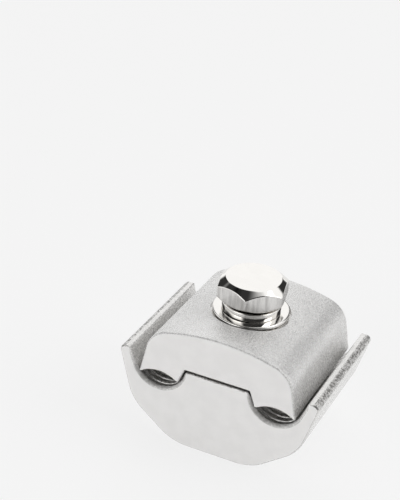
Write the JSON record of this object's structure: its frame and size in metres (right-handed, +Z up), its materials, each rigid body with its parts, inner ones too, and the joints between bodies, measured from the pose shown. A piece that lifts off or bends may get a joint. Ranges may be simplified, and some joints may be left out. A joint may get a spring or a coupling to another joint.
{
  "type": "parallel connector",
  "caption": "Parallel groove connector: an arched keeper drawn onto a grooved lower jaw by a hexagon bolt with a spring washer, to join bare conductors side by side.",
  "frame": {"origin": "middle of the flat underside, under the bolt's axis", "axes": "+X across the grooves, +Y along the conductors, +Z up the bolt towards its head"},
  "size_m": [0.0554, 0.0386, 0.0441],
  "materials": {
    "tinned_jaw": "matt tin plating over extruded aluminium alloy",
    "stainless": "bright stainless steel"
  },
  "bodies": {
    "base": {"lower_jaw": "tinned_jaw"},
    "clamp": {"keeper": "tinned_jaw", "flat_washer": "stainless", "spring_washer": "stainless"},
    "bolt": {"hex_bolt": "stainless"}
  },
  "joints": [
    {"name": "keeper_lift", "type": "slide", "parent": "base", "child": "clamp", "axis": [0, 0, 1], "range_m": [0, 0.012]},
    {"name": "bolt_turn", "type": "hinge", "parent": "clamp", "child": "bolt", "pos_m": [0, 0, 0.04], "axis": [0, 0, 1], "range_deg": [0, 2880]}
  ],
  "couplings": [
    {"joint": "bolt_turn", "follows": "keeper_lift", "rad_per_m": 4188.8}
  ]
}
